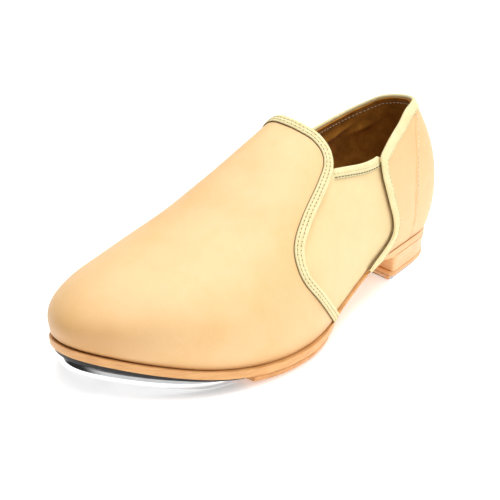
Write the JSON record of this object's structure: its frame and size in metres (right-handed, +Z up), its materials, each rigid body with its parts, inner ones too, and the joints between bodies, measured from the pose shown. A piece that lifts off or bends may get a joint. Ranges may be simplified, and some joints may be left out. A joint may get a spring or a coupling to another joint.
{
  "type": "tap shoe",
  "caption": "Slip-on tap shoe for the left foot: tan leather vamp and quarters, stretch side panels, bound edges, low heel, and screwed metal toe and heel taps.",
  "frame": {"origin": "under the middle of the shoe's bounding box, on the ground", "axes": "+X from heel to toe, +Y to the outer (little toe) side, +Z up"},
  "size_m": [0.249, 0.1, 0.0965],
  "materials": {
    "upper_leather": "smooth matte tan leather",
    "gore_elastic": "fine ribbed stretch fabric",
    "binding_tape": "woven folded tape with two rows of stitches",
    "lining": "brushed brown lining",
    "sock_lining": "soft brown liner over thin foam",
    "sole_leather": "waxed edge, satin",
    "sole_rubber": "matte with fine ribs",
    "heel_tan": "satin moulded heel",
    "heel_lift": "matte",
    "shim_board": "black fibre board",
    "tap_alloy": "polished, lightly scuffed",
    "screw_steel": "zinc plated",
    "shank_steel": "plain spring steel",
    "stiffener_board": "pressed fibre board",
    "cork_filler": "granulated cork"
  },
  "bodies": {
    "shoe": {"outsole": "sole_leather", "sole_pad": "sole_rubber", "toe_shim": "shim_board", "toe_tap": "tap_alloy", "heel_block": "heel_tan", "heel_top_lift": "heel_lift", "heel_tap": "tap_alloy", "heel_screw": "screw_steel", "insole_board": "stiffener_board", "sock_liner": "sock_lining", "bottom_filler": "cork_filler", "shank": "shank_steel", "vamp": "upper_leather", "toe_puff": "stiffener_board", "vamp_lining": "lining", "gore_lateral": "gore_elastic", "gore_medial": "gore_elastic", "quarter_lateral": "upper_leather", "quarter_medial": "upper_leather", "backstay": "upper_leather", "heel_counter": "stiffener_board", "quarter_lining": "lining", "vamp_binding": "binding_tape", "quarter_binding_lateral": "binding_tape", "quarter_binding_medial": "binding_tape", "gore_binding_lateral": "binding_tape", "gore_binding_medial": "binding_tape", "collar_binding": "binding_tape"},
    "heel_tap_screw_body_1": {"heel_tap_screw_1": "screw_steel"},
    "heel_tap_screw_body_2": {"heel_tap_screw_2": "screw_steel"},
    "heel_tap_screw_body_3": {"heel_tap_screw_3": "screw_steel"},
    "toe_tap_screw_body_1": {"toe_tap_screw_1": "screw_steel"},
    "toe_tap_screw_body_2": {"toe_tap_screw_2": "screw_steel"},
    "toe_tap_screw_body_3": {"toe_tap_screw_3": "screw_steel"}
  },
  "joints": [
    {"name": "heel_tap_screw_1_turn", "type": "hinge", "parent": "shoe", "child": "heel_tap_screw_body_1", "pos_m": [-0.10886, -0.00123, 0], "axis": [0, 0, 1], "range_deg": [0, 360]},
    {"name": "heel_tap_screw_2_turn", "type": "hinge", "parent": "shoe", "child": "heel_tap_screw_body_2", "pos_m": [-0.07986, -0.01823, 0], "axis": [0, 0, 1], "range_deg": [0, 360]},
    {"name": "heel_tap_screw_3_turn", "type": "hinge", "parent": "shoe", "child": "heel_tap_screw_body_3", "pos_m": [-0.07986, 0.01577, 0], "axis": [0, 0, 1], "range_deg": [0, 360]},
    {"name": "toe_tap_screw_1_turn", "type": "hinge", "parent": "shoe", "child": "toe_tap_screw_body_1", "pos_m": [0.08314, -0.02823, 0], "axis": [0, 0, 1], "range_deg": [0, 360]},
    {"name": "toe_tap_screw_2_turn", "type": "hinge", "parent": "shoe", "child": "toe_tap_screw_body_2", "pos_m": [0.08314, 0.01877, 0], "axis": [0, 0, 1], "range_deg": [0, 360]},
    {"name": "toe_tap_screw_3_turn", "type": "hinge", "parent": "shoe", "child": "toe_tap_screw_body_3", "pos_m": [0.10914, -0.01123, 0.00551], "axis": [-0.2701, 0, 0.9628], "range_deg": [0, 360]}
  ]
}
